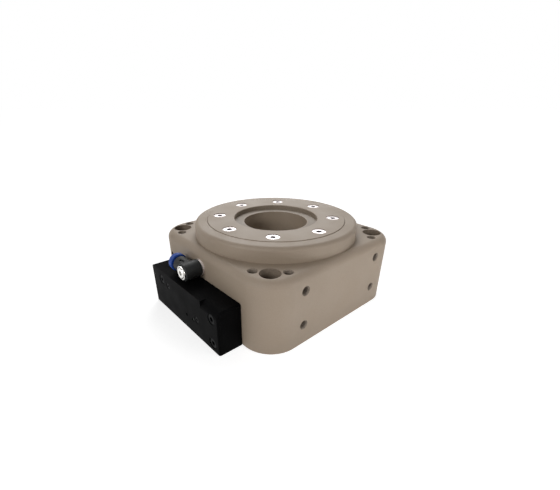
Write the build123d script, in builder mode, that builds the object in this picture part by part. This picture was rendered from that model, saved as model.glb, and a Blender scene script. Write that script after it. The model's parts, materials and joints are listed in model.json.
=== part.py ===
from build123d import *
import math
import os

os.makedirs("parts", exist_ok=True)

# Axis of rotation is Z, the mounting plane is z = 0, millimetres.
# Radii are set from the aperture outwards as walls and gaps, heights from the bottom cover upwards.

# Rotor: aperture, journal and table
aperture_radius = 20.0
journal_wall = 7.0
air_film = 0.02
table_overhang = 4.8
table_thickness = 8.3
table_edge = 0.15
recess_ledge = 6.0
recess_depth = 2.8
recess_edge = 0.4

# Housing
labyrinth_gap = 0.15
ring_wall = 7.55
table_proud = 0.3
boss_height = 8.8
boss_fillet = 2.5
mouth_edge = 0.15
base_margin = 4.5
base_top_fillet = 4.5
corner_radius = 18.0
base_wall = 3.5

# Corner bolts, jig holes and side holes
bolt_inset = 11.8
bolt_clear_radius = 3.3
bolt_head_radius = 5.5
bolt_head_depth = 6.5
jig_step_in = 7.6
jig_step_out = 4.7
tapped_radius = 2.5
tapped_edge = 0.3
countersink_angle = 90
jig_hole_depth = 10.0
side_hole_centre = 0.9
side_hole_y = 30.75
side_hole_low = 12.0
side_hole_rise = 20.5
side_hole_depth = 12.0

# Bearing sleeve
sleeve_wall = 11.0
sleeve_height = 23.0
flange_thickness = 5.0
flange_screw_count = 8
flange_screw_grip = 5.5
plenum_rise = 12.3
plenum_half = 4.0
plenum_depth = 1.2
seal_section = 1.6
seal_groove_width = 2.4
seal_land = 0.3
jet_count = 6
jet_row_spread = 2.0
jet_radius = 1.5
jet_length = 3.0
orifice_radius = 0.4
jet_recess = 0.5
gallery_inset = 6.0
gallery_bore = 0.8

# Thrust plate, motor and scale
plate_thickness = 5.0
hub_wall = 2.2
hub_height = 8.0
rotor_screw_count = 8
rotor_screw_grip = 7.0
magnet_thickness = 2.3
magnet_rise = 0.6
magnet_height = 6.0
magnet_count = 16
magnet_gap_angle = 2.5
motor_gap = 0.6
core_height = 5.6
core_back = 5.0
tooth_count = 12
tooth_width = 5.0
shoe_thickness = 1.2
slot_opening = 3.0
coil_side = 2.6
coil_end = 1.4
coil_clear = 0.6
scale_width = 5.0
scale_thickness = 0.8
scale_gap = 0.3
read_head_length = 12.0
read_head_width = 8.0
read_head_height = 2.9
read_head_ear = 2.6
read_head_ear_inset = 1.0
read_head_ear_height = 1.2
read_head_grip = 2.2

# Bottom cover
cover_ledge = 5.5
cover_clear = 0.2
cover_underside = 0.3
cover_recess_depth = 3.0
cover_bore_clear = 1.0
cover_screw_count = 8
cover_screw_turn = 22.5
cover_screw_grip = 5.0

# Screws: thread radius, clearance hole, head radius and height, socket radius and depth
m3_thread = 1.5
m3_clear = 1.7
m3_head = 2.75
m3_head_height = 3.0
m3_head_clear = 3.0
m3_head_sunk = 0.4
m3_socket = 1.44
m3_socket_depth = 1.5
m25_thread = 1.25
m25_clear = 1.45
m25_head = 2.35
m25_socket = 0.87
m25_socket_depth = 0.6
m2_thread = 1.0
m2_clear = 1.15
m2_head = 1.85
m2_head_clear = 2.0
m2_head_height = 1.2
m2_socket = 0.75
m2_socket_depth = 0.7
thread_runout = 1.0

# Load inserts
insert_inset = 7.0
insert_count = 8
insert_radius = 3.95
insert_depth = 7.0
insert_sunk = 0.3
insert_thread = 1.25
insert_thread_edge = 0.25

# Side box on the -Y face
box_length = 72.6
box_centre_x = -1.4
box_top = 25.85
box_depth = 14.1
gasket_thickness = 0.4
gasket_inset = 0.5
end_block_length = 15.6
box_brow_fillet = 4.5
box_end_fillet = 1.2
box_wall = 3.0
box_front_wall = 3.0
box_screw_left_inset = 11.7
box_screw_right_inset = 5.9
box_screw_top_inset = 6.05
box_screw_low = 4.8
box_post = 4.0
box_screw_sunk = 0.3
box_screw_grip = 6.0
board_screw_left_z = 18.3
board_screw_right_z = 11.3
board_screw_sunk = 0.2
board_post = 2.6
indicator_inset = 25.3
indicator_z = 9.3
indicator_radius = 1.15
indicator_sunk = 0.3
trim_hole_inset = 32.4
trim_hole_z = 9.1
trim_hole_radius = 0.9
slit_inset = 8.8
slit_z = 5.1
slit_height = 3.6
slit_width = 0.8
slit_depth = 1.0
passage_x = 0.0
passage_z = 16.6
passage_radius = 3.0
wire_groove_radius = 2.2
board_post_gap = 0.6
board_left_margin = 3.3
board_right_margin = 2.2
board_gap = 0.4
board_thickness = 1.6
board_standoff = 2.8
nut_half_width = 2.0
nut_height = 1.6
chip_height = 1.4
driver_chip = (11.4, 9.0, 7.0, 7.0)
socket_chip = (25.4, 18.5, 9.0, 3.0)
sensor_chip = (26.4, 7.0, 5.0, 4.0)
connector_low = 7.0
connector_top_inset = 7.05
connector_radius = 4.0
connector_flange = 5.0
connector_flange_thickness = 1.2
connector_reach = 3.2
connector_inside = 6.0
connector_bore = 3.2
connector_face_sunk = 0.5
connector_contact_radius = 0.4
connector_contact_ring = 1.8
connector_contact_count = 4
connector_contact_depth = 3.0

# Air fitting on the -Y face
fitting_x = -3.0
washer_thickness = 1.2
washer_radius = 4.75
stud_radius = 2.5
stud_depth = 6.5
stud_end_gap = 0.5
stud_bore = 1.2
bolt_head_thickness = 1.8
bolt_head_proud = 1.0
bolt_head_gap = 0.3
fitting_head_radius = 4.0
fitting_head_edge = 0.3
fitting_crown_radius = 3.0
fitting_crown_height = 0.4
fitting_groove_width = 0.4
fitting_groove_depth = 0.5
cross_hole = 0.9
fitting_socket = 1.5
fitting_socket_depth = 1.1
barrel_length = 10.35
barrel_radius = 5.05
barrel_edge = 0.5
barrel_bore_clear = 0.05
barrel_end_clear = 0.05
barrel_chamber = 3.7
barrel_chamber_half = 2.4
barrel_seal_width = 1.3
barrel_seal_outer = 3.7
arm_setback = 5.25
arm_length = 11.6
arm_radius = 4.5
arm_passage = 1.3
arm_pocket_reach = 5.6
arm_pocket_side = 1.7
arm_pocket_length = 4.0
arm_pocket_width = 1.8
arm_pocket_wall = 0.4
arm_edge = 0.4
tube_radius = 2.05
tube_stop = 5.0
tube_grip = 1.1
socket_radius = 3.2
tube_seal_width = 1.7
grip_gap = 0.2
grip_width = 0.8
grip_teeth_radius = 2.1
collar_travel = 0.9
collar_stop_gap = 0.1
collar_clear = 0.05
collar_bore = 2.1
collar_thickness = 3.6
collar_radius = 5.2
collar_edge = 0.6
air_passage = 1.5

# Blanking plug of the cross-drilled air passage
plug_inset = 16.5
plug_z = 28.5
plug_radius = 1.5
plug_length = 4.0
plug_sunk = 0.4
plug_socket = 0.75
plug_socket_depth = 1.2
tapping_radius = 1.0

# Radii worked out from the aperture outwards
journal_radius = aperture_radius + journal_wall
recess_radius = aperture_radius + recess_ledge
rotor_screw_radius = aperture_radius + journal_wall / 2
sleeve_outer = journal_radius + sleeve_wall
gallery_radius = journal_radius + gallery_inset
table_radius = sleeve_outer + table_overhang
insert_ring_radius = table_radius - insert_inset
mouth_radius = table_radius + labyrinth_gap
boss_radius = mouth_radius + ring_wall
half = boss_radius + base_margin
base_width = 2 * half
cover_recess_radius = half - base_wall
cover_radius = cover_recess_radius - cover_clear
cavity_radius = cover_recess_radius - cover_ledge
cover_screw_radius = cavity_radius + cover_ledge / 2
cover_bore = aperture_radius + cover_bore_clear
flange_screw_radius = (sleeve_outer + cavity_radius) / 2
hub_radius = journal_radius + hub_wall
magnet_outer = hub_radius + magnet_thickness
tooth_tip = magnet_outer + motor_gap
core_inner = cavity_radius - core_back
coil_near = tooth_tip + shoe_thickness + coil_clear
coil_far = core_inner - coil_clear
scale_inner = rotor_screw_radius + m3_head_clear
scale_outer = scale_inner + scale_width
read_head_radius = scale_inner + scale_width / 2

# Heights worked out from the bottom cover upwards
hub_bottom = cover_recess_depth + read_head_height + scale_gap + scale_thickness
plate_bottom = hub_bottom + hub_height
sleeve_bottom = plate_bottom + plate_thickness
flange_top = sleeve_bottom + flange_thickness
sleeve_top = sleeve_bottom + sleeve_height
table_top = sleeve_top + table_thickness
ring_top = table_top - table_proud
base_height = ring_top - boss_height
shoulder_height = sleeve_top - labyrinth_gap
magnet_bottom = hub_bottom + magnet_rise
core_bottom = magnet_bottom
core_top = core_bottom + core_height
plenum_centre = sleeve_bottom + plenum_rise
jet_rows = (plenum_centre - jet_row_spread, plenum_centre + jet_row_spread)
seal_offset = plenum_half + seal_land + seal_groove_width / 2
seal_heights = (plenum_centre - seal_offset, plenum_centre + seal_offset)
flange_screw_head_top = sleeve_bottom + m3_head_height + m3_head_sunk
flange_screw_tip = flange_top + flange_screw_grip
rotor_screw_head_top = hub_bottom + m3_head_height + m3_head_sunk
rotor_screw_tip = sleeve_bottom + rotor_screw_grip
cover_screw_tip = cover_recess_depth + cover_screw_grip

# Places worked out from the -Y face outwards
box_back = -half - gasket_thickness
box_front = box_back - box_depth
box_inside = box_front + box_front_wall
box_left = box_centre_x - box_length / 2
box_right = box_centre_x + box_length / 2
box_end_block = box_right - end_block_length
box_screw_left = box_left + box_screw_left_inset
box_screw_right = box_right - box_screw_right_inset
box_screw_high = box_top - box_screw_top_inset
screw_seat = box_front + m3_head_height + box_screw_sunk
board_screw_seat = box_front + m2_head_height + board_screw_sunk
board_left = box_screw_left + box_post + board_post_gap
board_right = box_end_block - box_wall - board_gap
board_screw_left = board_left + board_left_margin
board_screw_right = board_right - board_right_margin
board_screws_at = [(board_screw_left, board_screw_left_z), (board_screw_right, board_screw_right_z)]
board_front = box_inside + board_standoff
board_back = board_front + board_thickness
board_screw_tip = board_back + nut_height
indicator_x = box_right - indicator_inset
trim_hole_x = box_right - trim_hole_inset
slit_x = box_right - slit_inset
connector_y = (box_back + box_inside) / 2
connector_high = box_top - connector_top_inset
fitting_z = plenum_centre
barrel_back = -half - washer_thickness - barrel_end_clear
barrel_front = barrel_back - barrel_length
bolt_head_face = barrel_front - bolt_head_proud
head_seat = bolt_head_face + bolt_head_thickness
barrel_seat = head_seat + barrel_end_clear
stud_tip = -half + stud_depth - stud_end_gap
arm_y = barrel_back - arm_setback
arm_end = fitting_x - arm_length
socket_start = fitting_x - tube_stop - tube_grip
grip_start = socket_start - tube_seal_width - grip_gap
collar_stem_end = grip_start - grip_width - collar_stop_gap - collar_travel
collar_flange_back = arm_end - collar_travel - collar_stop_gap
collar_flange_front = collar_flange_back - collar_thickness
plug_x = -half + plug_inset
plug_inner = -half + plug_sunk + plug_length

# Hole patterns
bolt_offset = half - bolt_inset
jig_near = bolt_offset - jig_step_in
jig_far = bolt_offset + jig_step_out
corners = [(sx * bolt_offset, sy * bolt_offset) for sx in (-1, 1) for sy in (-1, 1)]
jigs = [(sx * jig_near, sy * jig_far) for sx in (-1, 1) for sy in (-1, 1)]
jigs += [(sx * jig_far, sy * jig_near) for sx in (-1, 1) for sy in (-1, 1)]
side_rows = (side_hole_low, side_hole_low + side_hole_rise)
sides = [(side_hole_centre + sy * side_hole_y, z) for sy in (-1, 1) for z in side_rows]
left_post = (box_screw_left, box_screw_high)
box_posts = [left_post] + [(box_screw_right, z) for z in (box_screw_low, box_screw_high)]


def facing_out(y):
    # Plane parallel to XZ whose normal is -Y; local x is world x, local y is world z.
    return Plane(origin=(0, y, 0), x_dir=(1, 0, 0), z_dir=(0, -1, 0))


def facing_left(x):
    # Plane parallel to YZ whose normal is -X; local x is world -y, local y is world z.
    return Plane(origin=(x, 0, 0), x_dir=(0, -1, 0), z_dir=(-1, 0, 0))


def socket_screws(head_plane, places, thread, head, head_height, length, socket, socket_depth):
    # Cap screws: the head grows along the plane normal, the thread grows the other way.
    with BuildPart() as screws:
        with BuildSketch(head_plane):
            with Locations(*places):
                Circle(head)
        extrude(amount=head_height)
        with BuildSketch(head_plane):
            with Locations(*places):
                Circle(thread)
        extrude(amount=-length)
        with BuildSketch(head_plane.offset(head_height - socket_depth)):
            with Locations(*places):
                RegularPolygon(socket, 6)
        extrude(amount=socket_depth, mode=Mode.SUBTRACT)
    return screws


def on_circle(radius, count, turn=0.0):
    angles = [math.radians(turn + k * 360 / count) for k in range(count)]
    return [(radius * math.cos(angle), radius * math.sin(angle)) for angle in angles]


def mirrored(places):
    # The same places seen on a plane that faces down.
    return [(x, -y) for x, y in places]


def facing_down(z):
    return Plane(origin=(0, 0, z), x_dir=(1, 0, 0), z_dir=(0, 0, -1))


def connector(height):
    # Round receptacle pushed through the end wall, with a contact block full of socket holes.
    centre = [(-connector_y, height)]
    with BuildPart() as receptacle:
        with BuildSketch(facing_left(box_left)):
            with Locations(*centre):
                Circle(connector_flange)
        extrude(amount=connector_flange_thickness)
        with BuildSketch(facing_left(box_left + connector_inside)):
            with Locations(*centre):
                Circle(connector_radius)
        extrude(amount=connector_inside + connector_reach)
        with BuildSketch(facing_left(box_left - connector_reach)):
            with Locations(*centre):
                Circle(connector_bore)
        extrude(amount=-connector_face_sunk, mode=Mode.SUBTRACT)
        with BuildSketch(facing_left(box_left - connector_reach)):
            with Locations(*centre):
                with PolarLocations(connector_contact_ring, connector_contact_count):
                    Circle(connector_contact_radius)
        extrude(amount=-connector_contact_depth, mode=Mode.SUBTRACT)
    return receptacle


def finish(builder, label):
    builder.part.label = label
    export_step(builder.part, "parts/" + label + ".step")


# Housing: square base with a round boss, bored from both sides; the pressure tapping runs from its plug
# in the front face straight towards the axis and ends in the sleeve's plenum
plenum_floor = sleeve_outer - plenum_depth / 2
tapping_start = Vector(plug_x, plug_inner, plug_z)
tapping_end = Vector(plug_x, plug_inner, 0).normalized() * plenum_floor + Vector(0, 0, plenum_centre)
with BuildPart() as housing:
    with BuildSketch(Plane.XY):
        RectangleRounded(base_width, base_width, corner_radius)
    extrude(amount=base_height)
    fillet(housing.edges().group_by(Axis.Z)[-1], base_top_fillet)
    with BuildSketch(Plane.XY.offset(base_height)):
        Circle(boss_radius)
    extrude(amount=ring_top - base_height)
    fillet(housing.edges().group_by(Axis.Z)[-1], boss_fillet)
    with BuildSketch(Plane.XY):
        Circle(cover_recess_radius)
    extrude(amount=cover_recess_depth, mode=Mode.SUBTRACT)
    with BuildSketch(Plane.XY):
        Circle(cavity_radius)
    extrude(amount=flange_top, mode=Mode.SUBTRACT)
    with BuildSketch(Plane.XY):
        Circle(sleeve_outer)
    extrude(amount=ring_top, mode=Mode.SUBTRACT)
    with BuildSketch(Plane.XY.offset(shoulder_height)):
        Circle(mouth_radius)
    extrude(amount=ring_top - shoulder_height, mode=Mode.SUBTRACT)
    mouth = housing.edges().filter_by(GeomType.CIRCLE).group_by(Axis.Z)[-1].sort_by(SortBy.RADIUS)[0]
    chamfer(mouth, mouth_edge)
    with Locations((0, 0, base_height)):
        with Locations(*corners):
            CounterBoreHole(bolt_clear_radius, bolt_head_radius, bolt_head_depth)
        with Locations(*jigs):
            CounterSinkHole(tapped_radius, tapped_radius + tapped_edge, jig_hole_depth, countersink_angle)
    with Locations(Plane(origin=(half, 0, 0), x_dir=(0, 1, 0), z_dir=(1, 0, 0))):
        with Locations(*sides):
            CounterSinkHole(tapped_radius, tapped_radius + tapped_edge, side_hole_depth, countersink_angle)
    with Locations(facing_out(-half)):
        with Locations((fitting_x, fitting_z)):
            Hole(stud_radius, stud_depth)
            Hole(air_passage, half - sleeve_outer + plenum_depth)
        with Locations((passage_x, passage_z)):
            Hole(passage_radius, half - cavity_radius + wire_groove_radius)
        with Locations(*box_posts):
            Hole(m3_thread, box_screw_grip + thread_runout)
        with Locations((plug_x, plug_z)):
            Hole(plug_radius, plug_length + plug_sunk)
    with BuildSketch(Plane(origin=tapping_start, z_dir=tapping_end - tapping_start)):
        Circle(tapping_radius)
    extrude(amount=(tapping_end - tapping_start).length, mode=Mode.SUBTRACT)
    with BuildSketch(Plane.XY.offset(cover_recess_depth)):
        with Locations((0, -cavity_radius)):
            Circle(wire_groove_radius)
    extrude(amount=passage_z - cover_recess_depth, mode=Mode.SUBTRACT)
    with BuildSketch(Plane.XY):
        with PolarLocations(cover_screw_radius, cover_screw_count, start_angle=cover_screw_turn):
            Circle(m25_thread)
    extrude(amount=cover_screw_tip + thread_runout, mode=Mode.SUBTRACT)
    with BuildSketch(Plane.XY.offset(flange_top)):
        with PolarLocations(flange_screw_radius, flange_screw_count):
            Circle(m3_thread)
    extrude(amount=flange_screw_grip + thread_runout, mode=Mode.SUBTRACT)
finish(housing, "housing")

# Bearing sleeve: journal bore, two thrust faces, plenum, orifice bores and galleries
with BuildPart() as bearing_sleeve:
    with BuildSketch(Plane.XY.offset(sleeve_bottom)):
        Circle(cavity_radius)
    extrude(amount=flange_thickness)
    with BuildSketch(Plane.XY.offset(sleeve_bottom)):
        Circle(sleeve_outer)
    extrude(amount=sleeve_top - sleeve_bottom)
    with BuildSketch(Plane.XY.offset(sleeve_bottom)):
        Circle(journal_radius + air_film)
    extrude(amount=sleeve_top - sleeve_bottom, mode=Mode.SUBTRACT)
    with BuildSketch(Plane.XZ):
        with Locations((sleeve_outer - plenum_depth / 2, plenum_centre)):
            Rectangle(plenum_depth, 2 * plenum_half)
        with Locations(*[(sleeve_outer - seal_section / 2, height) for height in seal_heights]):
            Rectangle(seal_section, seal_groove_width)
    revolve(axis=Axis.Z, mode=Mode.SUBTRACT)
    for k in range(jet_count):
        outward = Vector(1, 0, 0).rotate(Axis.Z, k * 360 / jet_count)
        for height in jet_rows:
            with BuildSketch(Plane(origin=(0, 0, height), z_dir=outward)):
                Circle(jet_radius)
            extrude(amount=sleeve_outer, mode=Mode.SUBTRACT)
    with BuildSketch(Plane.XY.offset(jet_rows[1])):
        with PolarLocations(gallery_radius, jet_count):
            Circle(gallery_bore)
    extrude(amount=sleeve_top - jet_rows[1], mode=Mode.SUBTRACT)
    with BuildSketch(Plane.XY.offset(sleeve_bottom)):
        with PolarLocations(gallery_radius, jet_count):
            Circle(gallery_bore)
    extrude(amount=jet_rows[0] - sleeve_bottom, mode=Mode.SUBTRACT)
    with BuildSketch(Plane.XY.offset(sleeve_top - jet_length)):
        with PolarLocations(gallery_radius, jet_count):
            Circle(jet_radius)
    extrude(amount=jet_length, mode=Mode.SUBTRACT)
    with BuildSketch(Plane.XY.offset(sleeve_bottom)):
        with PolarLocations(gallery_radius, jet_count):
            Circle(jet_radius)
    extrude(amount=jet_length, mode=Mode.SUBTRACT)
    with BuildSketch(Plane.XY.offset(sleeve_bottom)):
        with PolarLocations(flange_screw_radius, flange_screw_count):
            Circle(m3_clear)
    extrude(amount=flange_thickness, mode=Mode.SUBTRACT)
    with BuildSketch(Plane.XY.offset(sleeve_bottom)):
        with PolarLocations(flange_screw_radius, flange_screw_count):
            Circle(m3_head_clear)
    extrude(amount=flange_screw_head_top - sleeve_bottom, mode=Mode.SUBTRACT)
finish(bearing_sleeve, "bearing_sleeve")

# Two sealing rings either side of the plenum
with BuildPart() as sleeve_seals:
    for height in seal_heights:
        with BuildSketch(Plane.XZ):
            with Locations((sleeve_outer - seal_section / 2, height)):
                Circle(seal_section / 2)
        revolve(axis=Axis.Z)
finish(sleeve_seals, "sleeve_seals")

# Orifice jets of the journal: a drilled plug in every radial bore
with BuildPart() as journal_jets:
    for k in range(jet_count):
        outward = Vector(1, 0, 0).rotate(Axis.Z, k * 360 / jet_count)
        for height in jet_rows:
            start = outward * (journal_radius + jet_recess)
            with BuildSketch(Plane(origin=(start.X, start.Y, height), z_dir=outward)):
                Circle(jet_radius)
                Circle(orifice_radius, mode=Mode.SUBTRACT)
            extrude(amount=jet_length)
finish(journal_jets, "journal_jets")

# Orifice jets of the two thrust faces
with BuildPart() as thrust_jets:
    for start in (sleeve_bottom + jet_recess, sleeve_top - jet_length):
        with BuildSketch(Plane.XY.offset(start)):
            with PolarLocations(gallery_radius, jet_count):
                Circle(jet_radius)
                Circle(orifice_radius, mode=Mode.SUBTRACT)
        extrude(amount=jet_length - jet_recess)
finish(thrust_jets, "thrust_jets")

# Screws that hold the sleeve flange up against the housing
sleeve_screws = socket_screws(
    facing_down(flange_screw_head_top), mirrored(on_circle(flange_screw_radius, flange_screw_count)),
    m3_thread, m3_head, m3_head_height, flange_screw_tip - flange_screw_head_top, m3_socket, m3_socket_depth)
finish(sleeve_screws, "sleeve_screws")

# Rotor: table, journal and aperture in one piece
with BuildPart() as rotor_table:
    with BuildSketch(Plane.XY.offset(sleeve_top + air_film)):
        Circle(table_radius)
    extrude(amount=table_top - sleeve_top - air_film)
    chamfer(rotor_table.edges().group_by(Axis.Z)[-1], table_edge)
    with BuildSketch(Plane.XY.offset(sleeve_bottom - air_film)):
        Circle(journal_radius)
    extrude(amount=sleeve_top - sleeve_bottom + 2 * air_film)
    with BuildSketch(Plane.XY.offset(sleeve_bottom - air_film)):
        Circle(aperture_radius)
    extrude(amount=table_top, mode=Mode.SUBTRACT)
    with BuildSketch(Plane.XY.offset(table_top - recess_depth)):
        Circle(recess_radius)
    extrude(amount=recess_depth, mode=Mode.SUBTRACT)
    rim = rotor_table.edges().filter_by(GeomType.CIRCLE).group_by(Axis.Z)[-1].sort_by(SortBy.RADIUS)[0]
    chamfer(rim, recess_edge)
    with BuildSketch(Plane.XY.offset(table_top - insert_depth)):
        with PolarLocations(insert_ring_radius, insert_count):
            Circle(insert_radius)
    extrude(amount=insert_depth, mode=Mode.SUBTRACT)
    with BuildSketch(Plane.XY.offset(sleeve_bottom - air_film)):
        with PolarLocations(rotor_screw_radius, rotor_screw_count):
            Circle(m3_thread)
    extrude(amount=rotor_screw_grip + thread_runout, mode=Mode.SUBTRACT)
finish(rotor_table, "rotor_table")

# Threaded steel inserts, slightly sunk below the table face
with BuildPart() as load_inserts:
    with BuildSketch(Plane.XY.offset(table_top - insert_depth)):
        with PolarLocations(insert_ring_radius, insert_count):
            Circle(insert_radius)
    extrude(amount=insert_depth - insert_sunk)
    with Locations((0, 0, table_top - insert_sunk)):
        with PolarLocations(insert_ring_radius, insert_count):
            CounterSinkHole(insert_thread, insert_thread + insert_thread_edge, insert_depth, countersink_angle)
finish(load_inserts, "load_inserts")

# Lower thrust plate
with BuildPart() as thrust_plate:
    with BuildSketch(Plane.XY.offset(plate_bottom)):
        Circle(sleeve_outer)
        Circle(aperture_radius, mode=Mode.SUBTRACT)
        with PolarLocations(rotor_screw_radius, rotor_screw_count):
            Circle(m3_clear, mode=Mode.SUBTRACT)
    extrude(amount=plate_thickness - air_film)
finish(thrust_plate, "thrust_plate")

# Magnet hub, the steel back iron of the motor
with BuildPart() as magnet_hub:
    with BuildSketch(Plane.XY.offset(hub_bottom)):
        Circle(hub_radius)
        Circle(aperture_radius, mode=Mode.SUBTRACT)
        with PolarLocations(rotor_screw_radius, rotor_screw_count):
            Circle(m3_clear, mode=Mode.SUBTRACT)
    extrude(amount=hub_height)
    with BuildSketch(Plane.XY.offset(hub_bottom)):
        with PolarLocations(rotor_screw_radius, rotor_screw_count):
            Circle(m3_head_clear)
    extrude(amount=rotor_screw_head_top - hub_bottom, mode=Mode.SUBTRACT)
finish(magnet_hub, "magnet_hub")

# Long screws that clamp hub and thrust plate to the journal
rotor_screws = socket_screws(
    facing_down(rotor_screw_head_top), mirrored(on_circle(rotor_screw_radius, rotor_screw_count)),
    m3_thread, m3_head, m3_head_height, rotor_screw_tip - rotor_screw_head_top, m3_socket, m3_socket_depth)
finish(rotor_screws, "rotor_screws")

# Magnets around the hub
with BuildPart() as rotor_magnets:
    pitch = 360 / magnet_count
    with BuildSketch(Plane.XY.offset(magnet_bottom)):
        Circle(magnet_outer)
        Circle(hub_radius, mode=Mode.SUBTRACT)
        with PolarLocations(0, magnet_count, start_angle=pitch / 2):
            with Locations((magnet_outer, 0)):
                Rectangle(magnet_outer, 2 * hub_radius * math.sin(math.radians(magnet_gap_angle / 2)),
                          mode=Mode.SUBTRACT)
    extrude(amount=magnet_height)
finish(rotor_magnets, "rotor_magnets")

# Stator core: laminated ring with teeth and shoes
with BuildPart() as stator_core:
    half_pitch = 180 / tooth_count
    with BuildSketch(Plane.XY.offset(core_bottom)):
        Circle(cavity_radius)
        Circle(core_inner, mode=Mode.SUBTRACT)
        with PolarLocations(0, tooth_count):
            with Locations(((core_inner + tooth_tip) / 2, 0)):
                Rectangle(core_inner - tooth_tip + core_back, tooth_width)
        with BuildSketch(mode=Mode.PRIVATE) as shoes:
            Circle(tooth_tip + shoe_thickness)
            with PolarLocations(0, tooth_count, start_angle=half_pitch):
                with Locations((tooth_tip, 0)):
                    Rectangle(4 * shoe_thickness, slot_opening, mode=Mode.SUBTRACT)
        add(shoes.sketch)
        Circle(tooth_tip, mode=Mode.SUBTRACT)
    extrude(amount=core_height)
finish(stator_core, "stator_core")

# Coils, one around every tooth
with BuildPart() as stator_coils:
    for k in range(tooth_count):
        outward = Vector(1, 0, 0).rotate(Axis.Z, k * 360 / tooth_count)
        start = outward * coil_near
        middle = (core_bottom + core_top) / 2
        with BuildSketch(Plane(origin=(start.X, start.Y, middle), x_dir=(0, 0, 1), z_dir=outward)):
            Rectangle(core_height + 2 * coil_end, tooth_width + 2 * coil_side)
            Rectangle(core_height, tooth_width, mode=Mode.SUBTRACT)
        extrude(amount=coil_far - coil_near)
finish(stator_coils, "stator_coils")

# Encoder scale ring bonded under the hub
with BuildPart() as scale_ring:
    with BuildSketch(Plane.XY.offset(hub_bottom - scale_thickness)):
        Circle(scale_outer)
        Circle(scale_inner, mode=Mode.SUBTRACT)
    extrude(amount=scale_thickness)
finish(scale_ring, "scale_ring")

# Encoder read head on the bottom cover, on the side of the box
ear_x = read_head_length / 2 + read_head_ear
with BuildPart() as read_head:
    with BuildSketch(Plane.XY.offset(cover_recess_depth)):
        with Locations((0, -read_head_radius)):
            Rectangle(read_head_length, read_head_width)
    extrude(amount=read_head_height)
    with BuildSketch(Plane.XY.offset(cover_recess_depth)):
        with Locations((0, -read_head_radius)):
            Rectangle(read_head_length + 4 * read_head_ear, read_head_width - 2 * read_head_ear_inset)
    extrude(amount=read_head_ear_height)
    with BuildSketch(Plane.XY.offset(cover_recess_depth)):
        with Locations((-ear_x, -read_head_radius), (ear_x, -read_head_radius)):
            Circle(m2_clear)
    extrude(amount=read_head_ear_height, mode=Mode.SUBTRACT)
finish(read_head, "read_head")

# Screws of the read head
read_head_screws = socket_screws(
    Plane.XY.offset(cover_recess_depth + read_head_ear_height),
    [(-ear_x, -read_head_radius), (ear_x, -read_head_radius)],
    m2_thread, m2_head, m2_head_height, read_head_ear_height + read_head_grip, m2_socket, m2_socket_depth)
finish(read_head_screws, "read_head_screws")

# Bottom cover with the aperture left open
with BuildPart() as bottom_cover:
    with BuildSketch(Plane.XY.offset(cover_underside)):
        Circle(cover_radius)
        Circle(cover_bore, mode=Mode.SUBTRACT)
    extrude(amount=cover_recess_depth - cover_underside)
    with Locations(facing_down(cover_underside)):
        with Locations(*mirrored(on_circle(cover_screw_radius, cover_screw_count, cover_screw_turn))):
            CounterSinkHole(m25_clear, m25_head, cover_recess_depth, countersink_angle)
    with BuildSketch(Plane.XY.offset(cover_underside)):
        with Locations((-ear_x, -read_head_radius), (ear_x, -read_head_radius)):
            Circle(m2_thread)
    extrude(amount=cover_recess_depth, mode=Mode.SUBTRACT)
finish(bottom_cover, "bottom_cover")

# Countersunk screws of the bottom cover
with BuildPart() as bottom_cover_screws:
    head_depth = m25_head - m25_thread
    for x, y in on_circle(cover_screw_radius, cover_screw_count, cover_screw_turn):
        with BuildSketch(Plane(origin=(x, y, 0), x_dir=(1, 0, 0), z_dir=(0, -1, 0))):
            with BuildLine():
                Polyline((0, cover_underside), (m25_head, cover_underside),
                         (m25_thread, cover_underside + head_depth), (m25_thread, cover_screw_tip),
                         (0, cover_screw_tip), close=True)
            make_face()
        revolve(axis=Axis((x, y, 0), (0, 0, 1)))
    with BuildSketch(Plane.XY.offset(cover_underside)):
        with PolarLocations(cover_screw_radius, cover_screw_count, start_angle=cover_screw_turn):
            RegularPolygon(m25_socket, 6)
    extrude(amount=m25_socket_depth, mode=Mode.SUBTRACT)
finish(bottom_cover_screws, "bottom_cover_screws")

# Thin gasket between box and housing
with BuildPart() as box_gasket:
    with BuildSketch(facing_out(-half)):
        with Locations((box_centre_x, box_top / 2)):
            Rectangle(box_length - 2 * gasket_inset, box_top - 2 * gasket_inset)
        with Locations((passage_x, passage_z)):
            Circle(passage_radius, mode=Mode.SUBTRACT)
        with Locations(*box_posts):
            Circle(m3_clear, mode=Mode.SUBTRACT)
    extrude(amount=gasket_thickness)
finish(box_gasket, "box_gasket")

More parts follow.
